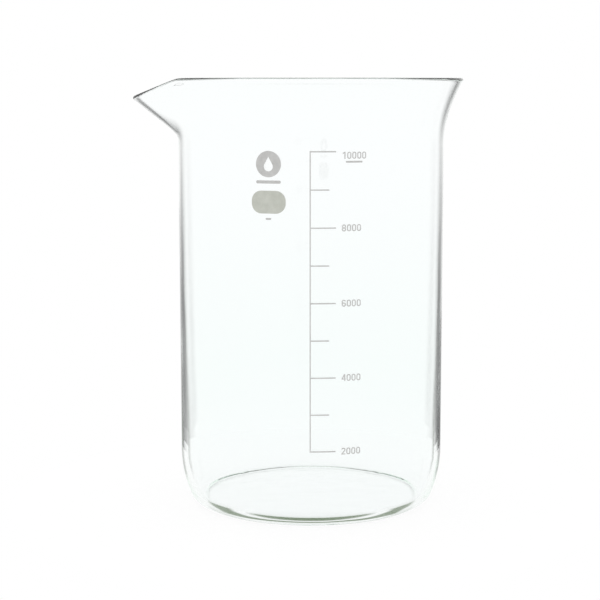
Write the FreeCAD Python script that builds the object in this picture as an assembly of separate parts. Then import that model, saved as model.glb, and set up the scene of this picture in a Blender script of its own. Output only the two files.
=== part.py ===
import FreeCAD, Part
import math
import os

# A large low-form laboratory beaker: one blown glass vessel with a flared, fire-polished rim
# and a pouring spout, and the white enamel that is printed and fired on its outside.
#
# Frame, in millimetres: the origin is on the vessel's axis, in the plane that it stands on.
# +Z is up, the spout points along -X and the printed scale faces -Y.

V = FreeCAD.Vector
UP = V(0, 0, 1)
ORIGIN = V(0, 0, 0)

# Glass vessel
HEIGHT = 350.0            # from the standing plane to the top of the rim
BODY_RADIUS = 108.5       # outside of the straight wall
WALL = 2.7                # thickness of the straight wall at its upper end
LOWER_WALL = 5.2          # its thickness at the lower end, towards which it thickens
FLOOR = 4.0               # thickness of the base
CORNER_WIDTH = 18.3       # how far the wall draws in at the bottom
CORNER_HEIGHT = 45.0      # height over which it draws in
TOE_RADIUS = 12.0         # tight end of that curve, where it meets the foot
INNER_TOE_RADIUS = 13.0   # the same inside
FOOT_WIDTH = 16.0         # width of the flat ring that the vessel stands on
BASE_DOME = 1.6           # rise of the base inside that ring

# Rim and spout
FLARE_HEIGHT = 53.0       # height of the flared part, rim included
RIM_RADIUS = 123.8        # outermost radius of the rim
RIM_BEAD = 3.4            # diameter of the rounded rim
FLARE_ANGLE = 30.0        # lean of the wall at the rim, from upright, in degrees
FLARE_BEND = 18.0         # length of the Bezier handles that shape the flare
SPOUT_REACH = 145.4       # outermost radius of the spout
SPOUT_DROP = 14.4         # how far the tip lies below the rim
SPOUT_ANGLE = 51.0        # lean of the spout's keel, from upright, in degrees
SPOUT_HEEL = 9.0          # Bezier handle where the keel leaves the wall
SPOUT_KEEL = 36.0         # Bezier handle along the straight keel
TIP_ROUNDING = 0.06       # half angle of the rounded tip, in radians
ROOT_ROUNDING = 0.08      # softness of the bend where the rim starts to dip, as a share

# Printed enamel
PRINT = 0.12              # thickness of the fired enamel
LINE_OFFSET = -0.7        # centre of the scale line, measured round the wall from its front
LINE_WIDTH = 0.9
STROKE_WIDTH = 1.0
LONG_STROKE = 19.7        # graduation with a figure, from the scale line's centre
SHORT_STROKE = 14.6       # graduation without one
TOP_MARGIN = 2.3          # highest graduation, below the start of the flare
BOTTOM_MARGIN = 18.3      # lowest graduation, above the curved corner
TOP_VOLUME = 10000        # millilitres at the highest graduation
VOLUME_STEP = 1000        # from one graduation to the next
GRADUATIONS = 9
FIGURE_HEIGHT = 5.4
FIGURE_WIDTH = 3.3
FIGURE_PITCH = 4.0        # one digit to the next
FIGURE_PEN = 0.86         # thickness of a digit's strokes
FIGURE_GAP = 4.6          # end of a long stroke to its figure
TOP_FIGURE_DROP = 2.8     # the highest figure's centre, below its graduation
SIDE_COLUMN = -33.0       # centre of the marks left of the scale, round the wall
EMBLEM_RADIUS = 10.0
DROP_RADIUS = 3.6         # the droplet left open in the emblem
DROP_TIP = 7.4            # its tip, above the centre of its round end
EMBLEM_RISE = 0.5         # top of the emblem, above the highest graduation
BAR_GAP = 2.4             # emblem to the bar under it
BAR_WIDTH = 19.6
BAR_HEIGHT = 2.4
SPOT_GAP = 5.4            # bar to the marking spot
SPOT_WIDTH = 27.2
SPOT_HEIGHT = 17.4
SPOT_CORNER = 7.8
BATCH_GAP = 3.4           # marking spot to the small bar under it
BATCH_WIDTH = 4.4
BATCH_HEIGHT = 1.4
NOTE_GAP = 1.5            # highest figure to the small bar under it
NOTE_WIDTH = 13.4
NOTE_HEIGHT = 1.4
BAR_CORNER = 0.45         # rounded ends of the three bars, as a share of their height

# Values that follow from the ones above
FLARE_START = HEIGHT - FLARE_HEIGHT
UPPER_BORE = BODY_RADIUS - WALL
LOWER_BORE = BODY_RADIUS - LOWER_WALL
TOP_MARK = FLARE_START - TOP_MARGIN
BOTTOM_MARK = CORNER_HEIGHT + BOTTOM_MARGIN
MARK_PITCH = (TOP_MARK - BOTTOM_MARK) / (GRADUATIONS - 1)
RIM_CENTRE = RIM_RADIUS - RIM_BEAD / 2
TIP_CENTRE = SPOUT_REACH - RIM_BEAD / 2
SPOUT_HALF_ANGLE = math.acos(RIM_CENTRE / TIP_CENTRE)
ROOT_X = RIM_CENTRE * math.cos(SPOUT_HALF_ANGLE)

# How the model is drawn
RING_STATIONS = 34        # points of a flare ring on each side of the spout
WALL_RINGS = 10
BEAD_RINGS = 8
JOIN_TOLERANCE = 0.01     # flare to lower body
PRISM_DEPTH = 4.0         # how far a print's prism reaches either side of the wall's front
LOOP_CORNER = 0.97        # roundness of a digit's loops


def export(name, shape):
    """Write one node and print what it holds."""
    shape.exportStep("parts/" + name + ".step")
    print(name, "valid" if shape.isValid() else "NOT VALID", len(shape.Solids), round(shape.Volume, 3))


# ---- Lower body: base, corner and straight wall, turned about the axis ----


def corner_arcs(radius, top, level, width, toe):
    """Two tangent arcs from the upright wall at (radius, top) down to the floor at level."""
    rise = top - level
    turn = 2 * math.atan((width - toe) / (rise - toe))
    sweep = (rise - toe) / math.sin(turn) + toe
    wall_centre = V(radius - sweep, 0, top)
    toe_centre = V(radius - width, 0, level + toe)

    def on(centre, reach, angle):
        return centre + V(reach * math.cos(angle), 0, -reach * math.sin(angle))

    joint = on(toe_centre, toe, turn)
    upper = Part.Arc(V(radius, 0, top), on(wall_centre, sweep, turn / 2), joint)
    middle = on(toe_centre, toe, (turn + math.pi / 2) / 2)
    lower = Part.Arc(joint, middle, V(radius - width, 0, level))
    return [upper.toShape(), lower.toShape()]


def line(radius, height, to_radius, to_height):
    return Part.LineSegment(V(radius, 0, height), V(to_radius, 0, to_height)).toShape()


def thickening_bore():
    """Inside of the straight wall: upright at the top, and bowed in towards the thick lower end."""
    middle = V(UPPER_BORE + (LOWER_BORE - UPPER_BORE) / 4, 0, (FLARE_START + CORNER_HEIGHT) / 2)
    return Part.Arc(V(LOWER_BORE, 0, CORNER_HEIGHT), middle, V(UPPER_BORE, 0, FLARE_START)).toShape()


def base_line(outer, inner, level):
    """Flat ring from outer to inner, then the shallow dome that ends on the axis."""
    crown = V(0, 0, level + BASE_DOME)
    sphere = (inner ** 2 + BASE_DOME ** 2) / (2 * BASE_DOME)
    half = math.asin(inner / sphere) / 2
    middle = V(sphere * math.sin(half), 0, crown.z - sphere * (1 - math.cos(half)))
    return [line(outer, level, inner, level), Part.Arc(V(inner, 0, level), middle, crown).toShape()]


def lower_body():
    """Solid of revolution up to the start of the flare, where it ends in a flat ring."""
    foot_outer = BODY_RADIUS - CORNER_WIDTH
    foot_inner = foot_outer - FOOT_WIDTH
    floor_outer = LOWER_BORE - CORNER_WIDTH
    edges = [line(BODY_RADIUS, FLARE_START, BODY_RADIUS, CORNER_HEIGHT)]
    edges += corner_arcs(BODY_RADIUS, CORNER_HEIGHT, 0, CORNER_WIDTH, TOE_RADIUS)
    edges += base_line(foot_outer, foot_inner, 0)
    edges.append(line(0, BASE_DOME, 0, FLOOR + BASE_DOME))
    edges += base_line(floor_outer, foot_inner, FLOOR)
    edges += corner_arcs(LOWER_BORE, CORNER_HEIGHT, FLOOR, CORNER_WIDTH, INNER_TOE_RADIUS)
    edges.append(thickening_bore())
    edges.append(line(UPPER_BORE, FLARE_START, BODY_RADIUS, FLARE_START))
    profile = Part.Wire(Part.__sortEdges__(edges))
    return Part.Face(profile).revolve(ORIGIN, UP, 360)


# ---- Flare, rim and spout: one upright section, drawn at each station round the axis ----


def spout_share(angle):
    """How far the rim at this angle from the spout has dipped: 0 on the round rim, 1 at the tip."""
    along = (rim_reach(angle) * math.cos(angle) - ROOT_X) / (TIP_CENTRE - ROOT_X)
    soft = (along + math.hypot(along, ROOT_ROUNDING)) / 2
    return soft / ((1 + math.hypot(1, ROOT_ROUNDING)) / 2)


def rim_reach(angle):
    """Plan radius of the rim's centre line: a circle, with two tangents that meet at the tip."""
    past_root = SPOUT_HALF_ANGLE + TIP_ROUNDING - math.hypot(angle, TIP_ROUNDING)
    return RIM_CENTRE / math.cos(max(0.0, past_root))


def section(angle):
    """Points (radius, height) of the wall's section: outside up, round the bead, inside down."""
    share = spout_share(angle)
    lean = math.radians(FLARE_ANGLE + (SPOUT_ANGLE - FLARE_ANGLE) * share)
    along = V(math.sin(lean), 0, math.cos(lean))
    across = V(math.cos(lean), 0, -math.sin(lean))
    centre = V(rim_reach(angle), 0, HEIGHT - RIM_BEAD / 2 - SPOUT_DROP * share)
    end = centre + across * (RIM_BEAD / 2)
    start = V(BODY_RADIUS, 0, FLARE_START)
    heel = FLARE_BEND + (SPOUT_HEEL - FLARE_BEND) * share
    keel = FLARE_BEND + (SPOUT_KEEL - FLARE_BEND) * share
    curve = Part.BezierCurve()
    curve.setPoles([start, start + UP * heel, end - along * keel, end])
    outside = []
    inside = []
    for i in range(WALL_RINGS + 1):
        t = i / WALL_RINGS
        point = curve.value(t)
        direction = curve.tangent(t)[0]
        thickness = WALL + (RIM_BEAD - WALL) * t * t
        outside.append(point)
        inside.append(point - V(direction.z, 0, -direction.x) * thickness)
    bead = []
    for i in range(BEAD_RINGS + 1):
        turn = math.pi * i / BEAD_RINGS
        bead.append(centre + (across * math.cos(turn) + along * math.sin(turn)) * (RIM_BEAD / 2))
    return outside, bead, inside[::-1]


def station_angles():
    """Angles from the spout, close together at the tip and wider apart behind it."""
    half = [math.pi * (i / RING_STATIONS) ** 1.5 for i in range(RING_STATIONS + 1)]
    return half + [-a for a in half[-2:0:-1]]


def skins():
    """The three skins of the flare: outside, bead and inside, each lofted through closed rings."""
    angles = station_angles()
    sections = [section(abs(a)) for a in angles]
    faces = []
    for part in range(3):
        rings = []
        for i in range(len(sections[0][part])):
            points = []
            for angle, drawn in zip(angles, sections):
                p = drawn[part][i]
                points.append(V(-p.x * math.cos(angle), -p.x * math.sin(angle), p.z))
            ring = Part.BSplineCurve()
            ring.interpolate(Points=points, PeriodicFlag=True)
            rings.append(Part.Wire(ring.toShape()))
        faces.append(Part.makeLoft(rings, False, False))
    return faces


def lowest_edge(skin):
    """The skin's closed edge at the start of the flare."""
    return min(skin.Edges, key=lambda edge: edge.BoundBox.ZMax)


def glass_vessel():
    """The whole vessel: the flare closed by a flat ring, joined to the lower body on that ring."""
    outside, bead, inside = skins()
    seat = Part.Face([Part.Wire(lowest_edge(outside)), Part.Wire(lowest_edge(inside))])
    shell = Part.makeShell(outside.Faces + bead.Faces + inside.Faces + [seat])
    shell.sewShape()
    flare = Part.makeSolid(shell)
    if flare.Volume < 0:
        flare.reverse()
    return lower_body().fuse((flare,), JOIN_TOLERANCE).removeSplitter()


# ---- Enamel: flat outlines drawn in front of the wall, pressed through a thin sleeve on it ----
# In an outline x runs to the right and z up, and the outline's own origin is its centre.


def prism(outline):
    """Extrude a closed outline through the wall's front, from behind its surface to before it."""
    flat = Part.Face(outline)
    flat.translate(V(0, -(BODY_RADIUS - PRISM_DEPTH), 0))
    return flat.extrude(V(0, -2 * PRISM_DEPTH, 0))


def polygon(*points):
    """Closed outline through (x, z) points."""
    corners = [V(x, 0, z) for x, z in points]
    return Part.Wire(Part.makePolygon(corners + corners[:1]))


def rounded(x, z, width, height, corner):
    """Closed rectangle with rounded corners, centred on (x, z)."""
    half_x = width / 2 - corner
    half_z = height / 2 - corner
    edges = []
    for quarter in range(4):
        turn = quarter * math.pi / 2
        to_x = x + half_x * (1 if quarter in (0, 3) else -1)
        to_z = z + half_z * (1 if quarter in (0, 1) else -1)
        arc = []
        for step in range(3):
            angle = turn + step * math.pi / 4
            arc.append(V(to_x + corner * math.cos(angle), 0, to_z + corner * math.sin(angle)))
        if edges:
            edges.append(Part.LineSegment(edges[-1].EndPoint, arc[0]))
        edges.append(Part.Arc(*arc))
    edges.append(Part.LineSegment(edges[-1].EndPoint, edges[0].StartPoint))
    return Part.Wire([edge.toShape() for edge in edges])


def loop(x, z, width, height):
    """A closed pen stroke: an upright or round ring of the figures' pen width."""
    outer = min(width, height) / 2 * LOOP_CORNER
    inner = (min(width, height) / 2 - FIGURE_PEN) * LOOP_CORNER
    hole = rounded(x, z, width - 2 * FIGURE_PEN, height - 2 * FIGURE_PEN, inner)
    return prism(rounded(x, z, width, height, outer)).cut(prism(hole))


def box(left, right, low, high):
    return prism(polygon((left, low), (right, low), (right, high), (left, high)))


def pen(x0, z0, x1, z1):
    """A straight pen stroke between two points."""
    length = math.hypot(x1 - x0, z1 - z0)
    across_x = (z1 - z0) / length * FIGURE_PEN / 2
    across_z = -(x1 - x0) / length * FIGURE_PEN / 2
    return prism(polygon((x0 - across_x, z0 - across_z), (x1 - across_x, z1 - across_z),
                         (x1 + across_x, z1 + across_z), (x0 + across_x, z0 + across_z)))


def digit(character):
    """One digit as a prism, centred, FIGURE_WIDTH by FIGURE_HEIGHT."""
    side = FIGURE_WIDTH / 2
    top = FIGURE_HEIGHT / 2
    whole = box(-side, side, -top, top)
    if character == "0":
        return loop(0, 0, FIGURE_WIDTH, FIGURE_HEIGHT)
    if character == "1":
        stem_left = side * 0.1
        flag = pen(stem_left - side * 0.75, top * 0.5, stem_left + FIGURE_PEN, top)
        return box(stem_left, stem_left + FIGURE_PEN, -top, top).fuse(flag).common(whole)
    if character == "2":
        bowl = FIGURE_HEIGHT * 0.56
        hook = loop(0, top - bowl / 2, FIGURE_WIDTH, bowl)
        hook = hook.cut(prism(polygon((-side, top - bowl * 0.42), (side * 0.35, top - bowl * 0.62),
                                      (side * 0.35, top - bowl), (-side, top - bowl))))
        tail = pen(side * 0.55, top - bowl * 0.78, -side * 0.72, -top + FIGURE_PEN * 0.6)
        return hook.fuse([tail, box(-side, side, -top, -top + FIGURE_PEN)]).common(whole).removeSplitter()
    if character == "4":
        shelf = -top + FIGURE_HEIGHT * 0.22
        stem = side * 0.28
        slope = pen(-side + FIGURE_PEN * 0.4, shelf + FIGURE_PEN * 0.4, stem + FIGURE_PEN * 0.4, top)
        bars = [box(stem, stem + FIGURE_PEN, -top, top), box(-side, side, shelf, shelf + FIGURE_PEN)]
        return slope.fuse(bars).common(whole).removeSplitter()
    if character == "6":
        bowl = FIGURE_HEIGHT * 0.62
        gap = box(0, side, -top + bowl * 0.8, top - FIGURE_HEIGHT * 0.24)
        back = loop(0, 0, FIGURE_WIDTH, FIGURE_HEIGHT).cut(gap)
        return back.fuse(loop(0, -top + bowl / 2, FIGURE_WIDTH, bowl)).removeSplitter()
    lower = FIGURE_HEIGHT * 0.56
    upper = FIGURE_HEIGHT - lower + FIGURE_PEN
    return loop(0, -top + lower / 2, FIGURE_WIDTH, lower).fuse(
        loop(0, top - upper / 2, FIGURE_WIDTH * 0.92, upper)).removeSplitter()


def sleeve():
    """The thin layer of enamel round the whole straight wall, which every print is a patch of."""
    length = FLARE_START - CORNER_HEIGHT
    base = V(0, 0, CORNER_HEIGHT)
    layer = Part.makeCylinder(BODY_RADIUS + PRINT, length, base, UP)
    return layer.cut(Part.makeCylinder(BODY_RADIUS, length, base, UP))


def printed(solid, along, height):
    """Set a prism at its place round the wall and keep the part of it that lies in the enamel."""
    placed = solid.copy()
    placed.translate(V(0, 0, height))
    placed.rotate(ORIGIN, UP, math.degrees(along / BODY_RADIUS))
    return placed.common(sleeve())


def mark_height(index):
    """Height of a graduation, counted from the highest."""
    return TOP_MARK - index * MARK_PITCH


def figure(number, index):
    """The digits of one volume, to the right of its graduation, each a solid of its own."""
    first = LINE_OFFSET + LONG_STROKE + FIGURE_GAP + FIGURE_WIDTH / 2
    height = mark_height(index) - (TOP_FIGURE_DROP if index == 0 else 0)
    digits = []
    for place, character in enumerate(str(number)):
        digits.append(printed(digit(character), first + place * FIGURE_PITCH, height))
    return Part.makeCompound([solid for shape in digits for solid in shape.Solids])


def ring_sector(start, end, low, high):
    """A patch of enamel between two places round the wall and two heights."""
    face = Part.Face(polygon((BODY_RADIUS, low), (BODY_RADIUS + PRINT, low),
                             (BODY_RADIUS + PRINT, high), (BODY_RADIUS, high)))
    face.rotate(ORIGIN, UP, math.degrees(start / BODY_RADIUS) - 90)
    return face.revolve(ORIGIN, UP, math.degrees((end - start) / BODY_RADIUS))


def graduation_scale():
    """The upright line and its graduation strokes, one continuous print."""
    left = LINE_OFFSET - LINE_WIDTH / 2
    right = LINE_OFFSET + LINE_WIDTH / 2
    half = STROKE_WIDTH / 2
    scale = ring_sector(left, right, mark_height(GRADUATIONS - 1) - half, mark_height(0) + half)
    strokes = []
    for index in range(GRADUATIONS):
        length = LONG_STROKE if index % 2 == 0 else SHORT_STROKE
        height = mark_height(index)
        strokes.append(ring_sector(right, LINE_OFFSET + length, height - half, height + half))
    return scale.fuse(strokes).removeSplitter()


def bar(width, height):
    return prism(rounded(0, 0, width, height, height * BAR_CORNER))


def droplet():
    """A round drop under a pointed tip, centred in the emblem."""
    middle = -DROP_TIP / 4
    lean = math.asin(DROP_RADIUS / DROP_TIP)
    touch_x = DROP_RADIUS * math.cos(lean)
    touch_z = middle + DROP_RADIUS * math.sin(lean)
    tip = V(0, 0, middle + DROP_TIP)
    right = V(touch_x, 0, touch_z)
    left = V(-touch_x, 0, touch_z)
    round_end = Part.Arc(right, V(0, 0, middle - DROP_RADIUS), left)
    sides = [Part.LineSegment(left, tip), Part.LineSegment(tip, right)]
    return prism(Part.Wire([round_end.toShape()] + [side.toShape() for side in sides]))


def side_marks():
    """The column left of the scale, from the emblem down, each hung from the one above it."""
    emblem_height = TOP_MARK + EMBLEM_RISE - EMBLEM_RADIUS
    disc = prism(Part.Wire(Part.makeCircle(EMBLEM_RADIUS, ORIGIN, V(0, 1, 0))))
    bar_height = emblem_height - EMBLEM_RADIUS - BAR_GAP - BAR_HEIGHT / 2
    spot_height = bar_height - BAR_HEIGHT / 2 - SPOT_GAP - SPOT_HEIGHT / 2
    batch_height = spot_height - SPOT_HEIGHT / 2 - BATCH_GAP - BATCH_HEIGHT / 2
    spot = prism(rounded(0, 0, SPOT_WIDTH, SPOT_HEIGHT, SPOT_CORNER))
    return {
        "emblem_disc": printed(disc.cut(droplet()), SIDE_COLUMN, emblem_height),
        "emblem_bar": printed(bar(BAR_WIDTH, BAR_HEIGHT), SIDE_COLUMN, bar_height),
        "marking_spot": printed(spot, SIDE_COLUMN, spot_height),
        "batch_bar": printed(bar(BATCH_WIDTH, BATCH_HEIGHT), SIDE_COLUMN, batch_height),
    }


def note_bar():
    """The small bar centred under the highest figure."""
    digits = len(str(TOP_VOLUME))
    middle = LINE_OFFSET + LONG_STROKE + FIGURE_GAP + (FIGURE_WIDTH + (digits - 1) * FIGURE_PITCH) / 2
    height = mark_height(0) - TOP_FIGURE_DROP - FIGURE_HEIGHT / 2 - NOTE_GAP - NOTE_HEIGHT / 2
    return printed(bar(NOTE_WIDTH, NOTE_HEIGHT), middle, height)


def main():
    os.makedirs("parts", exist_ok=True)
    export("glass_vessel", glass_vessel())
    export("graduation_scale", graduation_scale())
    for index in range(0, GRADUATIONS, 2):
        number = TOP_VOLUME - index * VOLUME_STEP
        export("numeral_" + str(number), figure(number, index))
    for name, shape in side_marks().items():
        export(name, shape)
    export("note_bar", note_bar())


if __name__ == "__main__":
    main()
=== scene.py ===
import logging
import math
from dataclasses import dataclass
from enum import Enum

import bmesh
import bpy
from mathutils import Matrix, Vector


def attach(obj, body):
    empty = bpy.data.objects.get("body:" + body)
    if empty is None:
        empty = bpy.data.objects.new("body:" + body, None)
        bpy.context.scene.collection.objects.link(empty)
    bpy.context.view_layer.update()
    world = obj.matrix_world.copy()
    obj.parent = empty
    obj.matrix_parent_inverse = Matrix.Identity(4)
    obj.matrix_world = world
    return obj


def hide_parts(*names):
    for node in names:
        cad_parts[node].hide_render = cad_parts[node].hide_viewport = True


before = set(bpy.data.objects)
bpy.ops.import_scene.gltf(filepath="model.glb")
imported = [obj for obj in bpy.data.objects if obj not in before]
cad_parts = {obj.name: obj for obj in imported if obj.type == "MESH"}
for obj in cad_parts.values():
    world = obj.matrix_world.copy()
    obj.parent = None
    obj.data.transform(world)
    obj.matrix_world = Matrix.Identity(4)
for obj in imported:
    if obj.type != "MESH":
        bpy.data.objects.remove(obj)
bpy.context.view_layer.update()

# A large low-form laboratory beaker: a blown glass vessel with a flared, fire-polished rim and a
# pouring spout, and white enamel printed and fired on its outside. Metres, in the frame's own axes:
# +Z is up, the spout points along -X and the printed scale faces -Y.

LOG = logging.getLogger("beaker")
BODY = "root"
UP = Vector((0, 0, 1))
ACROSS = Vector((0, 1, 0))
Ramp = tuple[tuple[float, float], ...]     # position and brightness of each stop, in order
Colour = tuple[float, float, float]


class Slot(Enum):
    """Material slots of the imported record."""

    GLASS = "glass"
    SCALE = "scale_enamel"
    MARK = "mark_enamel"
    SPOT = "spot_enamel"


# ---- Node trees ----


class NodeBoard:
    """Short ways to add and join the nodes of one tree."""

    def __init__(self, tree: bpy.types.NodeTree) -> None:
        """Start on an emptied tree."""
        self.tree = tree
        tree.nodes.clear()

    def add(self, kind: str, values: dict | None = None, **settings: object) -> bpy.types.Node:
        """Add a node.

        Args:
            kind: the node's type, without the "ShaderNode" that most begin with.
            values: input socket names or numbers, each with a value or a socket to link.
            **settings: the node's own properties.

        Returns:
            The new node.
        """
        full = kind if kind.startswith(("Node", "Shader")) else "ShaderNode" + kind
        node = self.tree.nodes.new(full)
        for name, setting in settings.items():
            setattr(node, name, setting)
        for name, value in (values or {}).items():
            if isinstance(value, bpy.types.NodeSocket):
                self.tree.links.new(value, node.inputs[name])
            else:
                node.inputs[name].default_value = value
        return node

    def math(self, operation: str, *terms: object) -> bpy.types.NodeSocket:
        """Add a Math node on these terms, and give its result."""
        return self.add("Math", dict(enumerate(terms)), operation=operation).outputs[0]

    def ramp(self, value: bpy.types.NodeSocket, stops: Ramp) -> bpy.types.NodeSocket:
        """Add a grey colour ramp.

        Args:
            value: the socket that it reads.
            stops: position and brightness of each stop, in order.

        Returns:
            The ramp's colour socket.
        """
        node = self.add("ValToRGB", {"Fac": value})
        scale = node.color_ramp
        while len(scale.elements) < len(stops):
            scale.elements.new(1.0)
        for element, (position, grey) in zip(scale.elements, stops):
            element.position = position
            element.color = (grey, grey, grey, 1)
        return node.outputs["Color"]


def print_grain() -> bpy.types.NodeTree:
    """Build the node group for screen-printed, fired enamel.

    Returns:
        The group: a mask of thin and thick ink, one of pinholes, and the height of its surface.
    """
    group = bpy.data.node_groups.new("print_grain", "ShaderNodeTree")
    board = NodeBoard(group)
    sockets = group.interface
    for name, value in (("Cloud Scale", 260.0), ("Grain Scale", 1900.0), ("Pinhole Size", 0.12)):
        socket = sockets.new_socket(name=name, in_out="INPUT", socket_type="NodeSocketFloat")
        socket.default_value = value
    for name in ("Ink", "Pinhole", "Height"):
        sockets.new_socket(name=name, in_out="OUTPUT", socket_type="NodeSocketFloat")
    given = board.add("NodeGroupInput").outputs
    place = board.add("TexCoord").outputs["Object"]
    cloud = board.add("TexNoise", {"Vector": place, "Scale": given["Cloud Scale"], "Detail": 3.0})
    grain = board.add("TexNoise", {"Vector": place, "Scale": given["Grain Scale"], "Detail": 2.0})
    cells = board.add("TexVoronoi", {"Vector": place, "Scale": given["Grain Scale"]})
    ink = board.math("ADD", board.math("MULTIPLY", cloud.outputs["Fac"], 0.65),
                     board.math("MULTIPLY", grain.outputs["Fac"], 0.35))
    hole = board.math("LESS_THAN", cells.outputs["Distance"], given["Pinhole Size"])
    height = board.math("SUBTRACT", ink, hole)
    board.add("NodeGroupOutput", {"Ink": ink, "Pinhole": hole, "Height": height})
    return group


@dataclass(frozen=True)
class EnamelFinish:
    """White enamel, screen printed on the glass and fired."""

    name: str
    thin: Colour
    thick: Colour
    roughness: float = 0.42
    roughness_spread: float = 0.22
    cloud_scale: float = 260.0
    pinhole_shade: float = 0.8
    relief: float = 0.25
    relief_depth: float = 0.00004
    ior: float = 1.5

    def material(self, grain: bpy.types.NodeTree) -> bpy.types.Material:
        """Build the material.

        Args:
            grain: the print_grain node group.

        Returns:
            The finished material.
        """
        made = bpy.data.materials.new(self.name)
        made.use_nodes = True
        board = NodeBoard(made.node_tree)
        print_node = board.add("Group", {}, node_tree=grain)
        print_node.inputs["Cloud Scale"].default_value = self.cloud_scale
        ink = print_node.outputs["Ink"]
        spread = board.ramp(ink, ((0.32, 0.0), (0.68, 1.0)))
        body = board.add("Mix", {"Factor": spread, 6: (*self.thin, 1), 7: (*self.thick, 1)},
                         data_type="RGBA")
        hollow = tuple(self.pinhole_shade * c for c in self.thin)
        pitted = board.add("Mix", {"Factor": print_node.outputs["Pinhole"], 6: body.outputs[2],
                                   7: (*hollow, 1)}, data_type="RGBA")
        rough = board.math("MULTIPLY_ADD", ink, self.roughness_spread,
                           self.roughness - self.roughness_spread / 2)
        relief = board.add("Bump", {"Height": print_node.outputs["Height"], "Strength": self.relief,
                                    "Distance": self.relief_depth})
        shader = board.add("BsdfPrincipled", {
            "Base Color": pitted.outputs[2], "Roughness": rough, "Normal": relief.outputs[0],
            "IOR": self.ior})
        board.add("OutputMaterial", {"Surface": shader.outputs[0]})
        return made


@dataclass(frozen=True)
class GlassFinish:
    """Clear borosilicate glass, with the faint green and the faint waves of a blown wall.

    The ramps over height read shares of the vessel's height, and the ramp over turning reads how far
    the surface turns away from the view. By them a painted dark shade goes into the colour where the
    glass turns away, strongest on the lower wall and fading out towards the rim, drawing dark lines
    along its outline.
    """

    name: str = "borosilicate_glass"
    ior: float = 1.473
    absorption: Colour = (0.10, 0.60, 0.25)
    density: float = 1.6
    upper_tint: Colour = (0.990, 0.997, 1.0)
    lower_tint: Colour = (0.968, 0.992, 0.988)
    # painted shade: the dark colour mixed in where the glass turns away from the view
    painted_edge_shade: Colour = (0.03, 0.05, 0.03)
    wave: float = 0.10
    wave_depth: float = 0.002
    film: Ramp = ((0.35, 0.0), (0.75, 0.012))
    vessel_height: float = 0.35
    tint_by_height: Ramp = ((0.0, 0.2), (0.12, 0.3), (0.28, 1.0), (0.80, 0.15))
    painted_edge_band: Ramp = ((0.86, 0.0), (0.93, 1.0))
    painted_edge_by_height: Ramp = ((0.046, 0.0), (0.08, 1.0), (0.36, 1.0), (0.77, 0.2), (0.88, 0.0))
    painted_edge_widening_by_height: Ramp = ((0.03, 0.0), (0.08, 1.0), (0.20, 1.0), (0.36, 0.0))
    painted_edge_widening: float = 0.07

    def material(self) -> bpy.types.Material:
        """Build the material.

        Returns:
            The finished material, with absorption inside the glass.
        """
        made = bpy.data.materials.new(self.name)
        made.use_nodes = True
        board = NodeBoard(made.node_tree)
        place = board.add("TexCoord").outputs["Object"]
        drawn = board.add("Mapping", {"Vector": place, "Scale": (1.0, 1.0, 0.4)}).outputs[0]
        waves = board.add("TexNoise", {"Vector": drawn, "Scale": 26.0, "Detail": 1.0})
        film = board.add("TexNoise", {"Vector": place, "Scale": 55.0, "Detail": 4.0})
        relief = board.add("Bump", {"Height": waves.outputs["Fac"], "Strength": self.wave,
                                    "Distance": self.wave_depth})
        rough = board.ramp(film.outputs["Fac"], self.film)
        height = board.math("DIVIDE", board.add("SeparateXYZ", {0: place}).outputs["Z"],
                            self.vessel_height)
        depth_share = board.ramp(height, self.tint_by_height)
        tint = board.add("Mix", {"Factor": depth_share, 6: (*self.upper_tint, 1),
                                 7: (*self.lower_tint, 1)}, data_type="RGBA")
        # painted dark shade along the outline where the surface turns away from the view, widened low
        # on the wall
        turned = board.add("LayerWeight", {"Blend": 0.5}).outputs["Facing"]
        where = board.ramp(height, self.painted_edge_by_height)
        low = board.ramp(height, self.painted_edge_widening_by_height)
        reach = board.math("MULTIPLY_ADD", low, self.painted_edge_widening, turned)
        painted_edge_mask = board.math("MULTIPLY", board.ramp(reach, self.painted_edge_band), where)
        tint_with_painted_edge = board.add("Mix", {"Factor": painted_edge_mask, 6: tint.outputs[2], 7: (*self.painted_edge_shade, 1)},
                          data_type="RGBA")
        shader = board.add("BsdfPrincipled", {
            "Base Color": tint_with_painted_edge.outputs[2], "Roughness": rough, "Normal": relief.outputs[0],
            "IOR": self.ior, "Transmission Weight": 1.0, "Metallic": 0.0})
        depth = board.add("VolumeAbsorption", {"Color": (*self.absorption, 1),
                                               "Density": self.density})
        board.add("OutputMaterial", {"Surface": shader.outputs[0], "Volume": depth.outputs[0]})
        return made


# ---- Glass vessel ----


class ProfilePen:
    """Draws an upright profile as a chain of edges, by extruding and spinning its last point."""

    def __init__(self, mesh: bmesh.types.BMesh, x: float, z: float) -> None:
        """Start a chain at a point of the XZ plane.

        Args:
            mesh: the mesh that the chain is drawn in.
            x: the first point's distance along X.
            z: the first point's height.
        """
        self.mesh = mesh
        self.row = mesh.verts.layers.int.new("flare_row")
        self.last = mesh.verts.new((x, 0, z))

    def line(self, x: float, z: float, row: int = 0) -> None:
        """Extrude the last point to (x, z).

        Args:
            x: distance from the axis.
            z: height.
            row: number of the flare's row that the new point belongs to, or 0 for none.
        """
        made = bmesh.ops.extrude_vert_indiv(self.mesh, verts=[self.last])
        self.last = made["verts"][0]
        self.last.co = (x, 0, z)
        self.last[self.row] = row

    def arc(self, x: float, z: float, angle: float, steps: int) -> None:
        """Spin the last point about a centre.

        Args:
            x: the centre's distance from the axis.
            z: the centre's height.
            angle: how far to turn about +Y, which takes up to outwards.
            steps: number of edges.
        """
        made = bmesh.ops.spin(self.mesh, geom=[self.last], cent=(x, 0, z), axis=ACROSS,
                              angle=angle, steps=steps, use_merge=False, use_duplicate=False)
        self.last = next(e for e in made["geom_last"] if isinstance(e, bmesh.types.BMVert))


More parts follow.
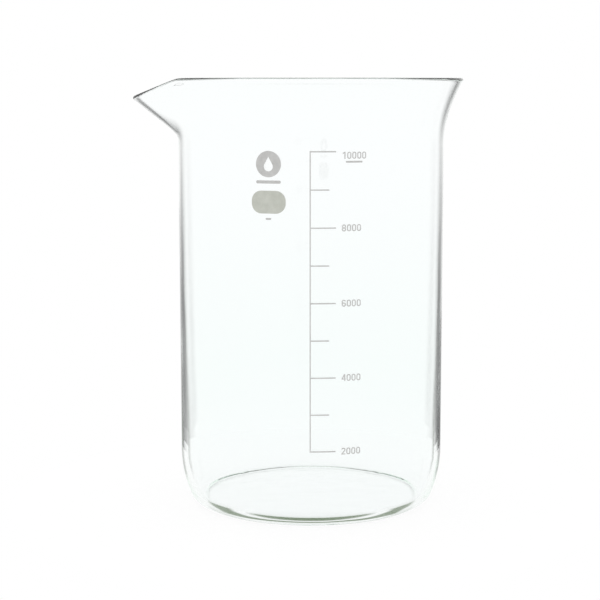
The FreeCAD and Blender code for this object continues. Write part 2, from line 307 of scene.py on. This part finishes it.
@dataclass
class Flare:
    """The flared top of the wall with its rounded rim and pouring spout."""

    top: float = 0.350
    start: float = 0.297
    wall_radius: float = 0.1085
    wall: float = 0.0027
    rim_radius: float = 0.1238
    bead: float = 0.0034
    lean: float = math.radians(30.0)
    bend: float = 0.018
    reach: float = 0.1454
    drop: float = 0.0144
    keel_lean: float = math.radians(51.0)
    heel_handle: float = 0.009
    keel_handle: float = 0.036
    tip_rounding: float = 0.06
    root_rounding: float = 0.08
    wall_rows: int = 24
    bead_rows: int = 20

    def rim_reach(self, angle: float) -> float:
        """Plan radius of the rim's centre line at an angle from the spout.

        Args:
            angle: angle from the spout in radians.

        Returns:
            The radius in metres.
        """
        half = math.acos((self.rim_radius - self.bead / 2) / (self.reach - self.bead / 2))
        past_root = half + self.tip_rounding - math.hypot(angle, self.tip_rounding)
        return (self.rim_radius - self.bead / 2) / math.cos(max(0.0, past_root))

    def spout_share(self, angle: float) -> float:
        """How far the rim has dipped at an angle from the spout.

        Args:
            angle: angle from the spout in radians.

        Returns:
            A share, 0 when round and 1 at the tip.
        """
        centre = self.rim_radius - self.bead / 2
        tip = self.reach - self.bead / 2
        root_x = centre * centre / tip
        along = (self.rim_reach(angle) * math.cos(angle) - root_x) / (tip - root_x)
        soft = (along + math.hypot(along, self.root_rounding)) / 2
        return soft / ((1 + math.hypot(1, self.root_rounding)) / 2)

    def section(self, angle: float) -> list[tuple[float, float]]:
        """Draw the upright section at one angle.

        Args:
            angle: angle from the spout, in radians.

        Returns:
            (radius, height) of each row: outside going up, round the bead, inside going down.
        """
        share = self.spout_share(angle)
        lean = self.lean + (self.keel_lean - self.lean) * share
        along = Vector((math.sin(lean), math.cos(lean)))
        across = Vector((math.cos(lean), -math.sin(lean)))
        centre = Vector((self.rim_reach(angle), self.top - self.bead / 2 - self.drop * share))
        end = centre + across * (self.bead / 2)
        start = Vector((self.wall_radius, self.start))
        heel = self.bend + (self.heel_handle - self.bend) * share
        keel = self.bend + (self.keel_handle - self.bend) * share
        poles = [start, start + Vector((0, heel)), end - along * keel, end]
        outside, inside = [], []
        for step in range(self.wall_rows + 1):
            t = step / self.wall_rows
            ways = [poles[i].lerp(poles[i + 1], t) for i in range(3)]
            halves = [ways[0].lerp(ways[1], t), ways[1].lerp(ways[2], t)]
            point = halves[0].lerp(halves[1], t)
            heading = (halves[1] - halves[0]).normalized()
            depth = self.wall + (self.bead - self.wall) * t * t
            outside.append(point)
            inside.append(point - Vector((heading.y, -heading.x)) * depth)
        bead = []
        for step in range(1, self.bead_rows):
            turn = math.pi * step / self.bead_rows
            bead.append(centre + (across * math.cos(turn) + along * math.sin(turn)) * (self.bead / 2))
        return [tuple(p) for p in outside + bead + inside[::-1]]


@dataclass
class GlassVessel:
    """The one blown piece: base, corner, wall, flare, rim and spout."""

    radius: float = 0.1085
    upper_wall: float = 0.0027
    lower_wall: float = 0.0052
    floor: float = 0.0040
    corner_width: float = 0.0183
    corner_height: float = 0.045
    toe: float = 0.012
    inner_toe: float = 0.013
    foot_width: float = 0.016
    dome: float = 0.0016
    stations: int = 288
    crowding: float = 0.55
    wall_rows: int = 14
    sweep_rows: int = 14
    toe_rows: int = 10
    dome_rows: int = 6

    def corner(self, radius: float, level: float, toe: float) -> tuple[float, float]:
        """Give the two tangent arcs of a corner.

        Args:
            radius: radius of the wall above it.
            level: height of the base below it.
            toe: radius of its tight end.

        Returns:
            The angle at which the arcs meet, and the radius of the long one.
        """
        rise = self.corner_height - level
        turn = 2 * math.atan((self.corner_width - toe) / (rise - toe))
        return turn, (rise - toe) / math.sin(turn) + toe

    def draw(self, mesh: bmesh.types.BMesh, flare: Flare) -> None:
        """Draw the whole section, from under the base, over the rim and back to the axis.

        Args:
            mesh: the empty mesh that it is drawn in.
            flare: the flared top, drawn as it is opposite the spout.
        """
        bore = self.radius - self.lower_wall
        foot_outer = self.radius - self.corner_width
        foot_inner = foot_outer - self.foot_width
        sphere = (foot_inner ** 2 + self.dome ** 2) / (2 * self.dome)
        cap = math.asin(foot_inner / sphere)
        pen = ProfilePen(mesh, 0, self.dome)
        pen.arc(0, self.dome - sphere, cap, self.dome_rows)
        pen.line(foot_outer, 0)
        turn, sweep = self.corner(self.radius, 0, self.toe)
        pen.arc(foot_outer, self.toe, turn - math.pi / 2, self.toe_rows)
        pen.arc(self.radius - sweep, self.corner_height, -turn, self.sweep_rows)
        rise = flare.start - self.corner_height
        for step in range(1, self.wall_rows):
            pen.line(self.radius, self.corner_height + rise * step / self.wall_rows)
        for row, (x, z) in enumerate(flare.section(math.pi), 1):
            pen.line(x, z, row)
        for step in range(1, self.wall_rows + 1):
            down = step / self.wall_rows
            thick = self.upper_wall + (self.lower_wall - self.upper_wall) * down * down
            pen.line(self.radius - thick, flare.start - rise * down)
        turn, sweep = self.corner(bore, self.floor, self.inner_toe)
        pen.arc(bore - sweep, self.corner_height, turn, self.sweep_rows)
        pen.arc(bore - self.corner_width, self.floor + self.inner_toe, math.pi / 2 - turn,
                self.toe_rows)
        pen.line(foot_inner, self.floor)
        pen.arc(0, self.floor + self.dome - sphere, -cap, self.dome_rows)

    def pull_spout(self, mesh: bmesh.types.BMesh, flare: Flare) -> None:
        """Crowd the spun sections towards the spout and pull the flare's rows to their places.

        Args:
            mesh: the spun vessel.
            flare: the sections that the flare's rows are pulled to.
        """
        row = mesh.verts.layers.int["flare_row"]
        sections: dict[int, list[tuple[float, float]]] = {}
        for vert in mesh.verts:
            even = math.atan2(-vert.co.y, -vert.co.x)
            angle = even - self.crowding * math.sin(even)
            reach = math.hypot(vert.co.x, vert.co.y)
            height = vert.co.z
            if vert[row]:
                key = round(abs(angle) * 1e6)
                if key not in sections:
                    sections[key] = flare.section(abs(angle))
                reach, height = sections[key][vert[row] - 1]
            vert.co = (-reach * math.cos(angle), -reach * math.sin(angle), height)

    def build(self, finish: bpy.types.Material) -> bpy.types.Object:
        """Spin the section, shape the spout and dress the piece.

        Args:
            finish: the glass.

        Returns:
            The vessel, standing for its CAD node.
        """
        flare = Flare(wall_radius=self.radius, wall=self.upper_wall)
        mesh = bmesh.new()
        self.draw(mesh, flare)
        bmesh.ops.spin(mesh, geom=mesh.verts[:] + mesh.edges[:], cent=(0, 0, 0), axis=UP,
                       angle=2 * math.pi, steps=self.stations, use_merge=True,
                       use_duplicate=False)
        poles = [v for v in mesh.verts if math.hypot(v.co.x, v.co.y) < 1e-6]
        bmesh.ops.remove_doubles(mesh, verts=poles, dist=1e-5)
        self.pull_spout(mesh, flare)
        bmesh.ops.recalc_face_normals(mesh, faces=mesh.faces[:])
        piece = finished("blown_glass", mesh, finish)
        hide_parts("glass_vessel")
        return piece


def finished(name: str, mesh: bmesh.types.BMesh, material: bpy.types.Material) -> bpy.types.Object:
    """Make a mesh an object of the scene.

    Args:
        name: the piece's name.
        mesh: its mesh, which is used up.
        material: its finish.

    Returns:
        The object, riding on the one body.
    """
    for face in mesh.faces:
        face.smooth = True
    data = bpy.data.meshes.new(name)
    mesh.to_mesh(data)
    mesh.free()
    data.materials.append(material)
    piece = bpy.data.objects.new(name, data)
    bpy.context.scene.collection.objects.link(piece)
    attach(piece, BODY)
    data.calc_loop_triangles()
    LOG.info("%s: %d triangles", name, len(data.loop_triangles))
    return piece


# ---- Enamel ----


@dataclass
class PrintedEnamel:
    """The fired prints of one finish, each a thin patch on the wall."""

    finish: EnamelFinish
    nodes: tuple[str, ...]

    def dress(self, grain: bpy.types.NodeTree) -> None:
        """Give every print of this finish its material.

        Args:
            grain: the shared grain of fired enamel.
        """
        material = self.finish.material(grain)
        for name in self.nodes:
            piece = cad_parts[name]
            for slot in piece.material_slots:
                slot.material = material
            LOG.info("%s: %s", name, self.finish.name)


# ---- Stage ----


@dataclass
class Stage:
    """The pale floor, the soft light all round and the camera."""

    floor_radius: float = 0.25
    floor_gap: float = 0.0003
    floor_white: float = 0.08         # what the sheet scatters
    glow: float = 0.945               # what it gives out
    # painted shadow: the dark green the sheet shows under the foot to light reflected on its way
    # there
    painted_contact_shadow: Colour = (0.14, 0.20, 0.11)
    painted_shadow_reach: float = 0.2        # reflected light from further away sees the sheet fully lit
    steep: Ramp = ((0.0, 0.0), (0.11, 0.1), (0.17, 1.0))
    slanting: Ramp = ((0.23, 1.0), (0.28, 0.12), (0.41, 0.12), (0.47, 1.0))
    foot_ring: Ramp = ((0.36, 1.0), (0.39, 0.0), (0.50, 0.0), (0.54, 1.0))
    foot_ring_scale: float = 5.0      # ramp position of one metre from the axis
    view: float = 1.0                 # the room as the camera sees it
    brightest: float = 1.01           # the room as everything else sees it
    gap_start: float = 20.0           # dark uprights, in degrees either side of +Y
    gap_end: float = 33.0
    gap_sector: float = 45.0
    gap_dark: float = 0.03
    gap_inside: float = 0.07
    gap_outside: float = 0.16
    gap_above: float = 0.10           # their strength in level and rising light
    gap_below: float = -0.15          # slope at which they reach full strength
    gap_reflected: float = 0.8        # their strength in reflected light
    levels: Ramp = ((0.0, 1.0), (0.60, 1.0), (0.75, 1.0), (1.0, 0.97))
    camera_place: tuple[float, float, float] = (0, -1.339, 0.3496)
    camera_dip: float = 7.76
    lens: float = 97.6
    shift: float = -0.0185
    bounces: int = 48

    def floor(self) -> None:
        """Lay the round pale floor.

        The sheet gives out its own light. Light that was reflected on its way to the sheet nearby
        sees a painted dark green shadow under the foot, which draws the lines round the base.
        """
        mesh = bmesh.new()
        bmesh.ops.create_circle(mesh, cap_ends=True, segments=128, radius=self.floor_radius,
                                matrix=Matrix.Translation((0, 0, -self.floor_gap)))
        data = bpy.data.meshes.new("pale_floor")
        mesh.to_mesh(data)
        mesh.free()
        material = bpy.data.materials.new("pale_floor")
        material.use_nodes = True
        board = NodeBoard(material.node_tree)
        place = board.add("TexCoord").outputs["Object"]
        paper = board.add("TexNoise", {"Vector": place, "Scale": 300.0, "Detail": 2.0})
        shade = board.add("Mix", {"Factor": paper.outputs["Fac"], 6: (0.97, 0.97, 0.97, 1),
                                  7: (1.0, 1.0, 1.0, 1)}, data_type="RGBA")
        white = (self.floor_white, self.floor_white, self.floor_white, 1)
        sheet = board.add("BsdfDiffuse", {"Color": white})
        facing = board.add("LayerWeight", {"Blend": 0.5}).outputs["Facing"]
        away = board.add("VectorMath", {0: place}, operation="LENGTH").outputs["Value"]
        ring = board.ramp(board.math("MULTIPLY", away, self.foot_ring_scale), self.foot_ring)
        open_sides = board.math("MAXIMUM", board.ramp(facing, self.slanting), ring)
        seen = board.math("MULTIPLY", board.ramp(facing, self.steep), open_sides)
        path = board.add("LightPath").outputs
        direct = board.math("LESS_THAN", path["Glossy Depth"], 0.5)
        distant = board.math("GREATER_THAN", path["Ray Length"], self.painted_shadow_reach)
        lit = board.math("MAXIMUM", board.math("MAXIMUM", direct, distant), seen)
        # painted dark green shadow under the foot, seen by light reflected on its way there from
        # nearby, not by the camera
        floor_with_painted_shadow = board.add("Mix", {"Factor": lit, 6: (*self.painted_contact_shadow, 1), 7: shade.outputs[2]},
                          data_type="RGBA")
        glow = board.add("Emission", {"Color": floor_with_painted_shadow.outputs[2], "Strength": self.glow})
        both = board.add("AddShader", {0: sheet.outputs[0], 1: glow.outputs[0]})
        board.add("OutputMaterial", {"Surface": both.outputs[0]})
        data.materials.append(material)
        floor = bpy.data.objects.new("pale_floor", data)
        bpy.context.scene.collection.objects.link(floor)

    def light(self) -> None:
        """Light the room: a bright wall all round, two dark uprights behind it."""
        world = bpy.data.worlds.new("studio")
        world.use_nodes = True
        bpy.context.scene.world = world
        board = NodeBoard(world.node_tree)
        way = board.add("SeparateXYZ", {0: board.add("TexCoord").outputs["Generated"]}).outputs
        aside = board.math("ABSOLUTE", board.math("ARCTAN2", way["X"], way["Y"]))
        share = board.math("DIVIDE", aside, math.radians(self.gap_sector))
        start, end = self.gap_start / self.gap_sector, self.gap_end / self.gap_sector
        gaps = board.ramp(share, ((0.0, 1.0), (start - self.gap_outside, 1.0),
                                  (start + self.gap_inside, self.gap_dark),
                                  (end - self.gap_inside, self.gap_dark),
                                  (end + self.gap_outside, 1.0)))
        levels = board.ramp(board.math("MULTIPLY_ADD", way["Z"], 0.5, 0.5), self.levels)
        low = board.add("MapRange", {"Value": way["Z"], "From Min": 0.0,
                                     "From Max": self.gap_below, "To Min": self.gap_above,
                                     "To Max": 1.0}).outputs[0]
        path = board.add("LightPath").outputs
        direct = board.math("LESS_THAN", path["Glossy Depth"], 0.5)
        strength = board.math("MULTIPLY_ADD", direct, 1 - self.gap_reflected, self.gap_reflected)
        uprights = board.add("Mix", {"Factor": board.math("MULTIPLY", low, strength),
                                     6: (1, 1, 1, 1), 7: gaps}, data_type="RGBA")
        room = board.add("Mix", {"Factor": 1.0, 6: uprights.outputs[2], 7: levels},
                         data_type="RGBA", blend_type="MULTIPLY")
        seen = board.add("Background", {"Color": (1, 1, 1, 1), "Strength": self.view})
        lit = board.add("Background", {"Color": room.outputs[2], "Strength": self.brightest})
        both = board.add("MixShader", {0: path["Is Camera Ray"], 1: lit.outputs[0],
                                       2: seen.outputs[0]})
        board.add("OutputWorld", {"Surface": both.outputs[0]})

    def camera(self) -> None:
        """Set up the camera and how the picture is shown."""
        data = bpy.data.cameras.new("camera")
        data.sensor_width = 36.0
        data.lens = self.lens
        data.shift_x = self.shift
        camera = bpy.data.objects.new("camera", data)
        camera.location = self.camera_place
        camera.rotation_euler = (math.radians(90 - self.camera_dip), 0, 0)
        scene = bpy.context.scene
        scene.collection.objects.link(camera)
        scene.camera = camera
        scene.view_settings.view_transform = "Standard"
        scene.cycles.max_bounces = self.bounces
        scene.cycles.transmission_bounces = self.bounces
        scene.cycles.glossy_bounces = self.bounces


def main() -> None:
    """Build the beaker and its stage."""
    logging.basicConfig(level=logging.INFO, format="%(name)s %(message)s")
    GlassVessel().build(GlassFinish().material())
    grain = print_grain()
    numerals = tuple(name for name in sorted(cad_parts) if name.startswith("numeral_"))
    thin, thick = (0.46, 0.46, 0.45), (0.58, 0.58, 0.57)
    for enamel in (
        PrintedEnamel(EnamelFinish(Slot.SCALE.value, thin, thick), ("graduation_scale", *numerals)),
        PrintedEnamel(EnamelFinish(Slot.MARK.value, thin, thick),
                      ("emblem_disc", "emblem_bar", "batch_bar", "note_bar")),
        PrintedEnamel(EnamelFinish(Slot.SPOT.value, (0.46, 0.475, 0.42), (0.56, 0.575, 0.52),
                                   roughness=0.55, cloud_scale=190.0), ("marking_spot",)),
    ):
        enamel.dress(grain)
    stage = Stage()
    stage.floor()
    stage.light()
    stage.camera()


if __name__ == "__main__":
    main()
